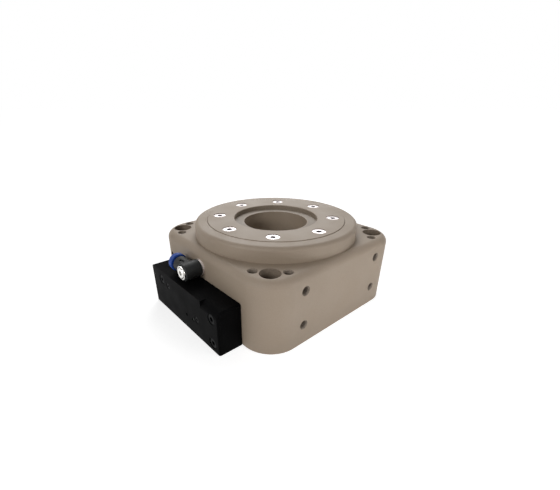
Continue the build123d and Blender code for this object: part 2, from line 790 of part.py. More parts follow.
# Side box: open towards the housing, with a solid end block whose top front edge is rounded
with BuildPart() as side_box:
    with BuildSketch(facing_out(box_back)):
        with Locations(((box_end_block + box_right) / 2, box_top / 2)):
            Rectangle(end_block_length, box_top)
    extrude(amount=box_depth)
    fillet(side_box.edges().group_by(Axis.Y)[0].filter_by(Axis.X).sort_by(Axis.Z)[-1], box_brow_fillet)
    end_face = side_box.faces().sort_by(Axis.X)[-1]
    fillet(end_face.edges() - end_face.edges().group_by(Axis.Z)[0] - end_face.edges().group_by(Axis.Y)[-1],
           box_end_fillet)
    with BuildSketch(facing_out(box_back)):
        with Locations(((box_left + box_end_block) / 2, box_top / 2)):
            Rectangle(box_end_block - box_left, box_top)
    extrude(amount=box_depth)
    fillet(side_box.edges().group_by(Axis.X)[0].filter_by(Axis.Y).sort_by(Axis.Z)[-1], box_end_fillet)
    with BuildSketch(facing_out(box_back)):
        with Locations(((box_left + box_end_block) / 2, box_top / 2)):
            Rectangle(box_end_block - box_left - 2 * box_wall, box_top - 2 * box_wall)
    extrude(amount=box_depth - box_front_wall, mode=Mode.SUBTRACT)
    with BuildSketch(facing_out(box_back)):
        with Locations(left_post):
            Circle(box_post)
    extrude(amount=box_depth - box_front_wall)
    with BuildSketch(facing_out(board_front)):
        with Locations(*board_screws_at):
            Circle(board_post)
    extrude(amount=board_standoff)
    with BuildSketch(facing_out(box_front)):
        with Locations(*box_posts):
            Circle(m3_clear)
    extrude(amount=-box_depth, mode=Mode.SUBTRACT)
    with BuildSketch(facing_out(box_front)):
        with Locations(*box_posts):
            Circle(m3_head_clear)
    extrude(amount=-(screw_seat - box_front), mode=Mode.SUBTRACT)
    with BuildSketch(facing_out(box_front)):
        with Locations(*board_screws_at):
            Circle(m2_clear)
    extrude(amount=-(board_front - box_front), mode=Mode.SUBTRACT)
    with BuildSketch(facing_out(box_front)):
        with Locations(*board_screws_at):
            Circle(m2_head_clear)
    extrude(amount=-(board_screw_seat - box_front), mode=Mode.SUBTRACT)
    with BuildSketch(facing_out(box_front)):
        with Locations((indicator_x, indicator_z)):
            Circle(indicator_radius)
        with Locations((trim_hole_x, trim_hole_z)):
            Circle(trim_hole_radius)
    extrude(amount=-box_front_wall, mode=Mode.SUBTRACT)
    with BuildSketch(facing_out(box_front)):
        with Locations((slit_x, slit_z)):
            Rectangle(slit_width, slit_height)
    extrude(amount=-slit_depth, mode=Mode.SUBTRACT)
    with BuildSketch(facing_left(box_left)):
        with Locations((-connector_y, connector_low), (-connector_y, connector_high)):
            Circle(connector_radius)
    extrude(amount=-box_wall, mode=Mode.SUBTRACT)
finish(side_box, "side_box")

# Cap screws through the box into the housing
box_screws = socket_screws(
    facing_out(screw_seat), box_posts, m3_thread, m3_head, m3_head_height,
    -half + box_screw_grip - screw_seat, m3_socket, m3_socket_depth)
finish(box_screws, "box_screws")

# Indicator window in the front wall
with BuildPart() as indicator_window:
    with BuildSketch(facing_out(box_inside)):
        with Locations((indicator_x, indicator_z)):
            Circle(indicator_radius)
    extrude(amount=box_front_wall - indicator_sunk)
finish(indicator_window, "indicator_window")

# Circuit board behind the front wall
with BuildPart() as circuit_board:
    with BuildSketch(facing_out(board_back)):
        with Locations(((board_left + board_right) / 2, box_top / 2)):
            Rectangle(board_right - board_left, box_top - 2 * (box_wall + board_gap))
        with Locations(*board_screws_at):
            Circle(m2_clear, mode=Mode.SUBTRACT)
    extrude(amount=board_thickness)
finish(circuit_board, "circuit_board")

# Screws and nuts that carry the board
board_screws = socket_screws(
    facing_out(board_screw_seat), board_screws_at, m2_thread, m2_head, m2_head_height,
    board_screw_tip - board_screw_seat, m2_socket, m2_socket_depth)
finish(board_screws, "board_screws")

with BuildPart() as board_nuts:
    with BuildSketch(facing_out(board_screw_tip)):
        with Locations(*board_screws_at):
            RegularPolygon(nut_half_width, 6, major_radius=False)
            Circle(m2_thread, mode=Mode.SUBTRACT)
    extrude(amount=nut_height)
finish(board_nuts, "board_nuts")

# Parts on the back of the circuit board
with BuildPart() as board_parts:
    with BuildSketch(facing_out(board_back + chip_height)):
        for from_edge, height, length, width in (driver_chip, socket_chip, sensor_chip):
            with Locations((board_left + from_edge, height)):
                Rectangle(length, width)
    extrude(amount=chip_height)
finish(board_parts, "board_parts")

# Motor and encoder receptacles on the hidden end of the box
motor_connector = connector(connector_high)
finish(motor_connector, "motor_connector")

encoder_connector = connector(connector_low)
finish(encoder_connector, "encoder_connector")

# Blanking plug of the pressure tapping
with BuildPart() as tapping_plug:
    with BuildSketch(facing_out(-half + plug_sunk)):
        with Locations((plug_x, plug_z)):
            Circle(plug_radius)
    extrude(amount=-plug_length)
    with BuildSketch(facing_out(-half + plug_sunk)):
        with Locations((plug_x, plug_z)):
            RegularPolygon(plug_socket, 6)
    extrude(amount=-plug_socket_depth, mode=Mode.SUBTRACT)
finish(tapping_plug, "tapping_plug")

# Washer under the fitting
with BuildPart() as fitting_washer:
    with BuildSketch(facing_out(-half)):
        with Locations((fitting_x, fitting_z)):
            Circle(washer_radius)
            Circle(stud_radius, mode=Mode.SUBTRACT)
    extrude(amount=washer_thickness)
finish(fitting_washer, "fitting_washer")

# Hollow bolt that carries the elbow and feeds it through cross holes
with BuildPart() as hollow_bolt:
    with BuildSketch(facing_out(stud_tip)):
        with Locations((fitting_x, fitting_z)):
            Circle(stud_radius)
    extrude(amount=stud_tip - head_seat)
    with BuildSketch(facing_out(head_seat)):
        with Locations((fitting_x, fitting_z)):
            Circle(fitting_head_radius)
    extrude(amount=bolt_head_thickness - fitting_crown_height)
    with BuildSketch(facing_out(head_seat)):
        with Locations((fitting_x, fitting_z)):
            Circle(fitting_crown_radius)
    extrude(amount=bolt_head_thickness)
    chamfer(hollow_bolt.edges().group_by(Axis.Y)[0], fitting_head_edge)
    with BuildSketch(facing_out(bolt_head_face + fitting_crown_height)):
        with Locations((fitting_x, fitting_z)):
            Circle(fitting_crown_radius + fitting_groove_width)
            Circle(fitting_crown_radius, mode=Mode.SUBTRACT)
    extrude(amount=-fitting_groove_depth, mode=Mode.SUBTRACT)
    with BuildSketch(facing_out(bolt_head_face)):
        with Locations((fitting_x, fitting_z)):
            RegularPolygon(fitting_socket, 6)
    extrude(amount=-fitting_socket_depth, mode=Mode.SUBTRACT)
    with BuildSketch(facing_out(stud_tip)):
        with Locations((fitting_x, fitting_z)):
            Circle(stud_bore)
    extrude(amount=stud_tip - arm_y, mode=Mode.SUBTRACT)
    with BuildSketch(facing_left(fitting_x + stud_radius)):
        with Locations((-arm_y, fitting_z)):
            Circle(cross_hole)
    extrude(amount=2 * stud_radius, mode=Mode.SUBTRACT)
finish(hollow_bolt, "hollow_bolt")

# Elbow that swivels on the hollow bolt, with the tube socket in its arm
with BuildPart() as elbow_body:
    with BuildSketch(facing_out(barrel_back)):
        with Locations((fitting_x, fitting_z)):
            Circle(barrel_radius)
    extrude(amount=barrel_length)
    chamfer(elbow_body.edges().group_by(Axis.Y)[0] + elbow_body.edges().group_by(Axis.Y)[-1], barrel_edge)
    with BuildSketch(facing_left(fitting_x)):
        with Locations((-arm_y, fitting_z)):
            Circle(arm_radius)
    extrude(amount=arm_length)
    chamfer(elbow_body.edges().group_by(Axis.X)[0], arm_edge)
    with BuildSketch(facing_out(barrel_back)):
        with Locations((fitting_x, fitting_z)):
            Circle(stud_radius + barrel_bore_clear)
    extrude(amount=barrel_length, mode=Mode.SUBTRACT)
    with BuildSketch(facing_out(arm_y + barrel_chamber_half)):
        with Locations((fitting_x, fitting_z)):
            Circle(barrel_chamber)
    extrude(amount=2 * barrel_chamber_half, mode=Mode.SUBTRACT)
    with BuildSketch(facing_out(barrel_back)):
        with Locations((fitting_x, fitting_z)):
            Circle(barrel_seal_outer)
    extrude(amount=barrel_seal_width, mode=Mode.SUBTRACT)
    with BuildSketch(facing_out(barrel_front)):
        with Locations((fitting_x, fitting_z)):
            Circle(fitting_head_radius + bolt_head_gap)
    extrude(amount=-(barrel_seat - barrel_front), mode=Mode.SUBTRACT)
    with BuildSketch(facing_out(barrel_seat)):
        with Locations((fitting_x, fitting_z)):
            Circle(barrel_seal_outer)
    extrude(amount=-barrel_seal_width, mode=Mode.SUBTRACT)
    with BuildSketch(Plane.XY.offset(fitting_z + socket_radius + arm_pocket_wall)):
        with Locations((fitting_x - arm_pocket_reach, arm_y - arm_pocket_side)):
            SlotOverall(arm_pocket_length, arm_pocket_width)
    extrude(amount=barrel_radius, mode=Mode.SUBTRACT)
    with BuildSketch(facing_left(fitting_x - stud_radius - barrel_bore_clear)):
        with Locations((-arm_y, fitting_z)):
            Circle(arm_passage)
    extrude(amount=fitting_x - stud_radius - barrel_bore_clear - arm_end, mode=Mode.SUBTRACT)
    with BuildSketch(facing_left(fitting_x - tube_stop)):
        with Locations((-arm_y, fitting_z)):
            Circle(tube_radius)
    extrude(amount=arm_length - tube_stop, mode=Mode.SUBTRACT)
    with BuildSketch(facing_left(socket_start)):
        with Locations((-arm_y, fitting_z)):
            Circle(socket_radius)
    extrude(amount=socket_start - arm_end, mode=Mode.SUBTRACT)
finish(elbow_body, "elbow_body")

# Seals at both ends of the barrel
with BuildPart() as barrel_seals:
    for start, reach in ((barrel_back, barrel_seal_width), (barrel_seat, -barrel_seal_width)):
        with BuildSketch(facing_out(start)):
            with Locations((fitting_x, fitting_z)):
                Circle(barrel_seal_outer)
                Circle(stud_radius + barrel_bore_clear, mode=Mode.SUBTRACT)
        extrude(amount=reach)
finish(barrel_seals, "barrel_seals")

# Seal and grip ring around the tube
with BuildPart() as tube_seal:
    with BuildSketch(facing_left(socket_start)):
        with Locations((-arm_y, fitting_z)):
            Circle(socket_radius)
            Circle(tube_radius, mode=Mode.SUBTRACT)
    extrude(amount=tube_seal_width)
finish(tube_seal, "tube_seal")

with BuildPart() as grip_ring:
    with BuildSketch(facing_left(grip_start)):
        with Locations((-arm_y, fitting_z)):
            Circle(socket_radius)
            Circle(grip_teeth_radius, mode=Mode.SUBTRACT)
    extrude(amount=grip_width)
finish(grip_ring, "grip_ring")

# Release collar: push it towards the elbow to free the tube
with BuildPart() as release_collar:
    with BuildSketch(facing_left(collar_stem_end)):
        with Locations((-arm_y, fitting_z)):
            Circle(socket_radius - collar_clear)
    extrude(amount=collar_stem_end - collar_flange_back)
    with BuildSketch(facing_left(collar_flange_back)):
        with Locations((-arm_y, fitting_z)):
            Circle(collar_radius)
    extrude(amount=collar_thickness)
    rims = release_collar.edges().filter_by(GeomType.CIRCLE).sort_by(SortBy.RADIUS)[-2:]
    fillet(rims, collar_edge)
    with BuildSketch(facing_left(collar_stem_end)):
        with Locations((-arm_y, fitting_z)):
            Circle(collar_bore)
    extrude(amount=collar_stem_end - collar_flange_front, mode=Mode.SUBTRACT)
finish(release_collar, "release_collar")
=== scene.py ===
"""Air bearing rotary stage: finishes, threads, floor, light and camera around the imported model.

The stage stands on z = 0 and turns about Z. Constants with a place or a length are in millimetres, unless they
say otherwise; meshes and nodes are in metres.
"""

import json
import math

import bpy
import numpy as np
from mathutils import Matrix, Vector


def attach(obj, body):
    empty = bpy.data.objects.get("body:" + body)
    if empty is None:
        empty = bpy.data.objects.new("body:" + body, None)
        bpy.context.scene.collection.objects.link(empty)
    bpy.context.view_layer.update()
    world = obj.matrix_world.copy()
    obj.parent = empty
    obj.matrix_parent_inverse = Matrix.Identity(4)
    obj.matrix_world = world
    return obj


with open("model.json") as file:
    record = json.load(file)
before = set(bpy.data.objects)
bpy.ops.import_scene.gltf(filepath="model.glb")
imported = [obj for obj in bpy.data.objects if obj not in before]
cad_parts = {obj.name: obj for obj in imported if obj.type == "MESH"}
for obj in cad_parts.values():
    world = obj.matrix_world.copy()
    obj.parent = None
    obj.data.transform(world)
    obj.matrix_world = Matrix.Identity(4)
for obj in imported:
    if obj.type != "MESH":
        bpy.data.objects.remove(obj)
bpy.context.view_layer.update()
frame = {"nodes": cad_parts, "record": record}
bpy.context.scene.view_settings.view_transform = "Standard"

MM = 0.001

# Camera: frame, focal length and centre of the photograph in pixels, angles in degrees
PHOTO_WIDTH, PHOTO_HEIGHT = 560, 490
FOCAL_PIXELS = 317.36
CENTRE_PIXEL = (263.37, 273.93)
SENSOR_WIDTH = 36.0
CAMERA_PLACE = (142.98, -133.52, 112.50)
CAMERA_YAW, CAMERA_PITCH = 49.238, -27.67

# Colours of the anodised aluminium, and of the painted shade in its recess, insert pockets, counterbores and
# tapped holes
TAUPE = (0.325, 0.256, 0.191)
TAUPE_CLOUD = (0.305, 0.24, 0.178)
TAUPE_SPECK = (0.345, 0.275, 0.208)
TAUPE_WORN = (0.56, 0.50, 0.43)
RECESS_PAINTED_SHADE = (0.22, 0.176, 0.132)
COUNTERBORE_PAINTED_SHADE = (0.20, 0.156, 0.117)
TAPPED_PAINTED_SHADE = (0.15, 0.117, 0.088)
POCKET_PAINTED_SHADOW = (0.05, 0.04, 0.03)

# Housing: corner bolts, tapped holes beside them and in the right face
BASE_TOP = 42.2
CORNER, COUNTERBORE = 43.2, 5.6
JIG_NEAR, JIG_FAR, JIG_THREAD = 35.6, 47.9, 8.5
SIDE_FACE, SIDE_CENTRE, SIDE_HALF, SIDE_LOW, SIDE_HIGH, SIDE_THREAD = 55.0, 0.9, 30.75, 12.0, 32.5, 10.5
TAPPED_RADIUS, TAPPED_EDGE, TAPPED_MOUTH, TAPPED_PITCH, TAPPED_DEPTH = 2.48, 2.9, 0.35, 1.0, 0.36
SKIN = 0.03

# Rotor: recess, aperture and inserts
ROTOR_TOP, RECESS_RADIUS, APERTURE_EDGE, RECESS_STEP = 51.3, 26.1, 20.6, 0.1
INSERT_COUNT, INSERT_RING, INSERT_TOP, INSERT_POCKET, POCKET_STEP = 8, 35.8, 51.0, 4.1, 0.02
INSERT_RADIUS, INSERT_MOUTH, INSERT_PITCH, INSERT_DEPTH, INSERT_THREAD = 1.24, 0.3, 0.5, 0.2, 5.0
INSERT_BORE = 1.6

# Threads: wall of the sleeve behind the hole's surface, steps round the hole and rows along one pitch
THREAD_WALL, THREAD_STEPS, THREAD_ROWS = 0.15, 40, 6

# Hollow bolt, receptacles, coils and encoder scale
BOLT_X, BOLT_Z, BOLT_FACE, BOLT_SOCKET, SOCKET_STEP = -3.0, 32.3, -67.6, 2.0, 0.25
CROWN_RADIUS, GROOVE_WIDTH = 3.0, 0.4
CONNECTOR_Y, CONNECTOR_HIGH, CONNECTOR_LOW, CONTACT_BLOCK, CONTACT_FACE = -60.95, 18.8, 7.0, 3.17, -40.5
COIL_WIRE, SHEET, SCALE_RULES, SCALE_BAND = 0.45, 0.35, 720, 28.5

# CAD nodes: distance in metres for welding loose triangles, and the angle in degrees that stays an edge
WELD_DISTANCE, SHARP_ANGLE, EVEN_WEIGHT = 2e-6, 28.0, 60

# Floor, in metres: half side, height, and where its glow starts and ends
FLOOR_HALF, FLOOR_LOW, GLOW_START, GLOW_END = 30.0, -0.00005, 0.12, 0.6
PAPER, SEEN_PAPER, GLOW_NEAR, GLOW_FAR = 0.93, 0.55, 0.74, 1.0
AMBIENT, BACKDROP = 0.01, 1.0

# Lamps: place in metres, side in metres, watts, and the point that each is aimed at
STAGE_MIDDLE = (0, 0, 0.025)
LAMPS = {
    "lamp_back": ((-0.5802, 0.5002, 0.6678), 0.5, 4.1, STAGE_MIDDLE),
    "lamp_above": ((-0.3556, 0.3065, 0.9079), 0.6, 1.75, STAGE_MIDDLE),
    "lamp_back_left": ((-0.6876, -0.3849, 0.6407), 0.45, 0.5, STAGE_MIDDLE),
    "lamp_front_left": ((0.1455, -0.8946, 0.4476), 0.4, 3.6, STAGE_MIDDLE),
    "lamp_floor_front": ((0.15, -0.13, 0.09), 0.1, 0.05, (0.15, -0.13, 0)),
    "lamp_floor_right": ((0.19, 0.02, 0.08), 0.1, 0.2, (0.19, 0.02, 0)),
}


def in_scene(name, data):
    """A new object with the data, linked to the scene."""
    thing = bpy.data.objects.new(name, data)
    bpy.context.scene.collection.objects.link(thing)
    return thing


def make_camera():
    """Camera at the photograph's place and angle; the shift puts the view's centre on its pixel."""
    data = bpy.data.cameras.new("camera")
    data.sensor_fit = "HORIZONTAL"
    data.sensor_width = SENSOR_WIDTH
    data.lens = FOCAL_PIXELS / PHOTO_WIDTH * SENSOR_WIDTH
    data.shift_x = (PHOTO_WIDTH / 2 - CENTRE_PIXEL[0]) / PHOTO_WIDTH
    data.shift_y = (CENTRE_PIXEL[1] - PHOTO_HEIGHT / 2) / PHOTO_WIDTH
    data.clip_start = 0.005
    data.clip_end = 20.0
    camera = in_scene("camera", data)
    camera.location = Vector(CAMERA_PLACE) * MM
    camera.rotation_euler = (math.radians(90 + CAMERA_PITCH), 0, math.radians(CAMERA_YAW))
    bpy.context.scene.camera = camera


class Wiring:
    """Shorthand for the nodes of one material or of the world."""

    def __init__(self, tree):
        self.nodes, self.links = tree.nodes, tree.links

    def math(self, operation, first, second=None):
        """One Math node; sockets are linked and numbers are set."""
        node = self.nodes.new("ShaderNodeMath")
        node.operation = operation
        for socket, value in zip(node.inputs, (first, second)):
            if hasattr(value, "is_output"):
                self.links.new(value, socket)
            elif value is not None:
                socket.default_value = value
        return node.outputs[0]

    def ramp(self, value, start, end, low=0.0, high=1.0):
        """Straight change from low to high while the value runs from start to end, level before and after."""
        node = self.nodes.new("ShaderNodeMapRange")
        for name, number in (("From Min", start), ("From Max", end), ("To Min", low), ("To Max", high)):
            node.inputs[name].default_value = number
        self.links.new(value, node.inputs["Value"])
        return node.outputs[0]

    def seen_directly(self):
        """1 where the camera, a reflection or a clear piece looks, 0 where light only bounces."""
        path = self.nodes.new("ShaderNodeLightPath").outputs
        either = self.math("MAXIMUM", path["Is Camera Ray"], path["Is Glossy Ray"])
        return self.math("MAXIMUM", either, path["Is Transmission Ray"])


class Finish(Wiring):
    """One procedural material: a principled shader with helpers that add grain, colour drift and bump."""

    def __init__(self, name, colour, roughness, metallic=0.0, specular=0.5):
        self.material = bpy.data.materials.new(name)
        self.material.use_nodes = True
        super().__init__(self.material.node_tree)
        self.shader = self.nodes["Principled BSDF"]
        self.shader.inputs["Base Color"].default_value = (*colour, 1)
        self.shader.inputs["Roughness"].default_value = roughness
        self.shader.inputs["Metallic"].default_value = metallic
        self.shader.inputs["Specular IOR Level"].default_value = specular
        self.place = self.nodes.new("ShaderNodeTexCoord").outputs["Object"]
        self.colour, self.colour_from = colour, None
        self.roughness = roughness
        self.height_from = None

    def coordinate(self, letter):
        """One coordinate of the place on the piece."""
        parts = self.nodes.new("ShaderNodeSeparateXYZ")
        self.links.new(self.place, parts.inputs[0])
        return parts.outputs[letter]

    def distance(self, first, second):
        """Length of the hypotenuse over two offsets."""
        return self.math("SQRT", self.math("ADD", self.math("MULTIPLY", first, first),
                                           self.math("MULTIPLY", second, second)))

    def radius(self, centre=(0, 0, 0), axis="Z"):
        """Distance from an axis line through the centre, which is in millimetres."""
        mapping = self.nodes.new("ShaderNodeMapping")
        mapping.inputs["Location"].default_value = [-value * MM for value in centre]
        self.links.new(self.place, mapping.inputs["Vector"])
        parts = self.nodes.new("ShaderNodeSeparateXYZ")
        self.links.new(mapping.outputs[0], parts.inputs[0])
        return self.distance(*[parts.outputs[name] for name in "XYZ" if name != axis])

    def off(self, value, place):
        """Offset of a coordinate from a place in millimetres."""
        return self.math("SUBTRACT", value, place * MM)

    def below(self, value, limit):
        """1 where the value is less than the limit in millimetres."""
        return self.math("LESS_THAN", value, limit * MM)

    def above(self, value, limit):
        """1 where the value is more than the limit in millimetres."""
        return self.math("GREATER_THAN", value, limit * MM)

    def both(self, first, second):
        """1 where both factors are 1."""
        return self.math("MULTIPLY", first, second)

    def between(self, value, low, high):
        """1 where the value lies between two limits in millimetres."""
        return self.both(self.below(value, high), self.above(value, low))

    def noise(self, scale, detail=3.0, place=None):
        """Cloudy noise over the object coordinates, or over another place."""
        noise = self.nodes.new("ShaderNodeTexNoise")
        noise.inputs["Scale"].default_value = scale
        noise.inputs["Detail"].default_value = detail
        self.links.new(place or self.place, noise.inputs["Vector"])
        return noise.outputs["Fac"]

    def mix_colour(self, factor, other):
        """The colour so far drifts towards another one by the factor."""
        mix = self.nodes.new("ShaderNodeMix")
        mix.data_type = "RGBA"
        self.links.new(factor, mix.inputs["Factor"])
        if self.colour_from is None:
            mix.inputs["A"].default_value = (*self.colour, 1)
        else:
            self.links.new(self.colour_from, mix.inputs["A"])
        mix.inputs["B"].default_value = (*other, 1)
        self.colour_from = mix.outputs["Result"]
        self.links.new(self.colour_from, self.shader.inputs["Base Color"])

    def drift(self, scale, towards, amount, detail=3.0):
        """Cloudy change of colour between two noise levels."""
        self.mix_colour(self.ramp(self.noise(scale, detail), 0.4, 0.7, high=amount), towards)

    def shade_between(self, value, start, end, colour):
        """The colour goes over to another one while the value runs from start to end, in millimetres."""
        self.mix_colour(self.ramp(value, start * MM, end * MM), colour)

    def becomes_plastic(self, factor, colour):
        """Where the factor is 1 the metal gives way to plastic of the colour."""
        self.mix_colour(factor, colour)
        self.links.new(self.math("SUBTRACT", 1.0, factor), self.shader.inputs["Metallic"])

    def rough_drift(self, scale, spread):
        """Roughness that wanders by the spread about its set value."""
        wander = self.ramp(self.noise(scale), 0.3, 0.7, self.roughness - spread, self.roughness + spread)
        self.links.new(wander, self.shader.inputs["Roughness"])

    def add_height(self, height):
        """Relief in metres, on top of what there is."""
        self.height_from = height if self.height_from is None else self.math("ADD", self.height_from, height)

    def grain(self, scale, height):
        """Fine cloudy relief, its height in metres."""
        self.add_height(self.math("MULTIPLY", self.noise(scale, 2.0), height))

    def tool_rings(self, pitch, height, centre=(0, 0, 0), axis="Z"):
        """Turned rings about an axis: uneven fine grooves, because the noise runs along the radius only."""
        along_radius = self.nodes.new("ShaderNodeCombineXYZ")
        self.links.new(self.radius(centre, axis), along_radius.inputs[0])
        self.add_height(self.math("MULTIPLY", self.noise(1 / pitch, 2.0, along_radius.outputs[0]), height))

    def ripples(self, value, pitch, height):
        """Even relief: a sine of the value, its full turn the pitch in millimetres, its height in metres."""
        wave = self.math("SINE", self.math("MULTIPLY", value, 2 * math.pi / (pitch * MM)))
        self.add_height(self.math("MULTIPLY", wave, height))

    def worn_edges(self, colour, strength, width=0.00025):
        """Edges, found where a rounded normal turns away from the true one, drift to a paler colour."""
        rounded = self.nodes.new("ShaderNodeBevel")
        rounded.samples = 4
        rounded.inputs["Radius"].default_value = width
        true = self.nodes.new("ShaderNodeNewGeometry")
        dot = self.nodes.new("ShaderNodeVectorMath")
        dot.operation = "DOT_PRODUCT"
        self.links.new(rounded.outputs[0], dot.inputs[0])
        self.links.new(true.outputs["True Normal"], dot.inputs[1])
        worn = self.ramp(dot.outputs["Value"], 0.99, 0.86, high=strength)
        self.mix_colour(self.math("MULTIPLY", worn, self.noise(900, 2.0)), colour)

    def done(self):
        """Connects the gathered relief and returns the material."""
        if self.height_from is not None:
            bump = self.nodes.new("ShaderNodeBump")
            bump.inputs["Distance"].default_value = 1.0
            bump.inputs["Strength"].default_value = 1.0
            self.links.new(self.height_from, bump.inputs["Height"])
            self.links.new(bump.outputs[0], self.shader.inputs["Normal"])
        return self.material


def paint_shade_in_holes(finish):
    """Painted shade inside the tapped holes and the corner counterbores, where little light reaches. By the
    symmetry of the patterns
    one distance serves all holes in the top: the larger and the smaller of |x| and |y|, each less the hole's
    own, are its two offsets. In the right face they are taken from |y - centre| and |z - middle height|."""
    across, along, up = [finish.coordinate(letter) for letter in "XYZ"]
    sizes = finish.math("ABSOLUTE", across), finish.math("ABSOLUTE", along)
    far, near = finish.math("MAXIMUM", *sizes), finish.math("MINIMUM", *sizes)
    inside = finish.between(up, SKIN, BASE_TOP - SKIN)
    for far_place, near_place, radius, shade in ((JIG_FAR, JIG_NEAR, TAPPED_EDGE, TAPPED_PAINTED_SHADE),
                                                 (CORNER, CORNER, COUNTERBORE, COUNTERBORE_PAINTED_SHADE)):
        away = finish.distance(finish.off(far, far_place), finish.off(near, near_place))
        # Painted shade inside the tapped holes and counterbores of the top
        finish.mix_colour(finish.both(inside, finish.below(away, radius)), shade)
    sideways = finish.math("ABSOLUTE", finish.off(along, SIDE_CENTRE))
    height = finish.math("ABSOLUTE", finish.off(up, 0.5 * (SIDE_LOW + SIDE_HIGH)))
    away = finish.distance(finish.off(sideways, SIDE_HALF), finish.off(height, 0.5 * (SIDE_HIGH - SIDE_LOW)))
    behind = finish.between(across, 0.8 * SIDE_FACE, SIDE_FACE - SKIN)
    # Painted shade inside the tapped holes of the right face
    finish.mix_colour(finish.both(behind, finish.below(away, TAPPED_EDGE)), TAPPED_PAINTED_SHADE)


def from_nearest_insert(finish):
    """Distance from the axis of the nearest insert: the angle about the stage's axis, less that of the nearest
    insert, and the radius give the offsets radius * cos(angle) - ring and radius * sin(angle)."""
    across, along = finish.coordinate("X"), finish.coordinate("Y")
    turn = finish.math("ARCTAN2", along, across)
    step = 2 * math.pi / INSERT_COUNT
    off_turn = finish.math("SUBTRACT", turn, finish.math("SNAP", finish.math("ADD", turn, step / 2), step))
    reach = finish.distance(across, along)
    outwards = finish.off(finish.math("MULTIPLY", reach, finish.math("COSINE", off_turn)), INSERT_RING)
    return finish.distance(outwards, finish.math("MULTIPLY", reach, finish.math("SINE", off_turn)))


def paint_shade_on_rotor(finish):
    """Painted shade in the recess round the aperture, and painted shadow on the walls of the pockets that the
    inserts are sunk in.
    """
    reach, up = finish.radius(), finish.coordinate("Z")
    ring = finish.between(reach, APERTURE_EDGE, RECESS_RADIUS)
    # Painted shade on the floor and wall of the recess round the aperture
    finish.mix_colour(finish.both(ring, finish.below(up, ROTOR_TOP - RECESS_STEP)), RECESS_PAINTED_SHADE)
    # Painted shadow on the walls of the insert pockets, below the table face
    pocket = finish.below(from_nearest_insert(finish), INSERT_POCKET)
    finish.mix_colour(finish.both(pocket, finish.below(up, ROTOR_TOP - POCKET_STEP)), POCKET_PAINTED_SHADOW)


def hard_anodised(name, painted_shade=None, turned=False):
    """Warm grey-brown hard anodised aluminium, bead blasted, with painted shade where a function for it is
    given, and turned rings.
    """
    finish = Finish(name, TAUPE, 0.6, specular=0.6)
    finish.drift(38, TAUPE_CLOUD, 0.8, detail=4.0)
    # Painted shade in recesses and holes, where given
    if painted_shade:
        painted_shade(finish)
    finish.drift(1500, TAUPE_SPECK, 0.5, detail=2.0)
    finish.rough_drift(60, 0.05)
    finish.grain(2600, 0.000012)
    if turned:
        finish.tool_rings(0.00035, 0.000014)
    finish.worn_edges(TAUPE_WORN, 0.35)
    return finish.done()


def black_anodised():
    """Fine blasted black anodised aluminium."""
    finish = Finish("black_anodised", (0.002, 0.002, 0.0021), 0.5, specular=0.015)
    finish.drift(70, (0.0035, 0.0035, 0.0038), 0.8)
    finish.rough_drift(90, 0.06)
    finish.grain(3200, 0.000010)
    finish.worn_edges((0.012, 0.012, 0.012), 0.4)
    return finish.done()


def bare_metal(name, colour, roughness, rings=None):
    """Bare or plated metal with a fine grain, slight tarnish and, where it was turned about Z, rings."""
    finish = Finish(name, colour, roughness, metallic=1.0)
    finish.drift(120, tuple(0.86 * value for value in colour), 0.6, detail=4.0)
    finish.rough_drift(300, 0.3 * roughness)
    finish.grain(2500, 0.000004)
    if rings:
        finish.tool_rings(rings, 0.000008)
    return finish.done()


def wound_copper():
    """Enamelled copper of the coils; the turns lie side by side along the tooth, so the relief follows the
    distance from the rotation axis."""
    finish = Finish("wound_copper", (0.62, 0.24, 0.10), 0.32, metallic=1.0)
    finish.drift(140, (0.50, 0.18, 0.07), 0.7, detail=4.0)
    finish.ripples(finish.radius(), COIL_WIRE, 0.00006)
    finish.rough_drift(300, 0.08)
    finish.grain(2200, 0.000004)
    return finish.done()


def stacked_core():
    """Motor steel of the stator in thin sheets, stacked along the rotation axis."""
    finish = Finish("stacked_core", (0.30, 0.32, 0.36), 0.45, metallic=1.0)
    finish.drift(200, (0.22, 0.22, 0.24), 0.7, detail=4.0)
    finish.ripples(finish.coordinate("Z"), SHEET, 0.00002)
    finish.rough_drift(300, 0.1)
    return finish.done()


def ruled_scale():
    """Polished steel of the encoder scale with fine radial rules near its outer edge."""
    finish = Finish("ruled_scale", (0.78, 0.78, 0.78), 0.14, metallic=1.0)
    turn = finish.math("ARCTAN2", finish.coordinate("Y"), finish.coordinate("X"))
    wave = finish.math("SINE", finish.math("MULTIPLY", turn, float(SCALE_RULES)))
    rule = finish.math("GREATER_THAN", wave, 0.2)
    finish.mix_colour(finish.both(rule, finish.above(finish.radius(), SCALE_BAND)), (0.12, 0.12, 0.13))
    finish.rough_drift(200, 0.04)
    finish.grain(2600, 0.000002)
    return finish.done()


def connector_nickel(name, height):
    """Nickel shell of a receptacle; its contact block, inside the rim, is dark plastic."""
    centre = (0, CONNECTOR_Y, height)
    finish = Finish(name, (0.50, 0.50, 0.49), 0.32, metallic=1.0)
    finish.drift(140, (0.40, 0.40, 0.39), 0.6, detail=4.0)
    inside_rim = finish.below(finish.radius(centre, "X"), CONTACT_BLOCK)
    block = finish.both(inside_rim, finish.above(finish.coordinate("X"), CONTACT_FACE))
    finish.becomes_plastic(block, (0.022, 0.022, 0.024))
    finish.rough_drift(300, 0.08)
    finish.grain(2400, 0.000005)
    finish.tool_rings(0.00025, 0.000006, centre, "X")
    return finish.done()


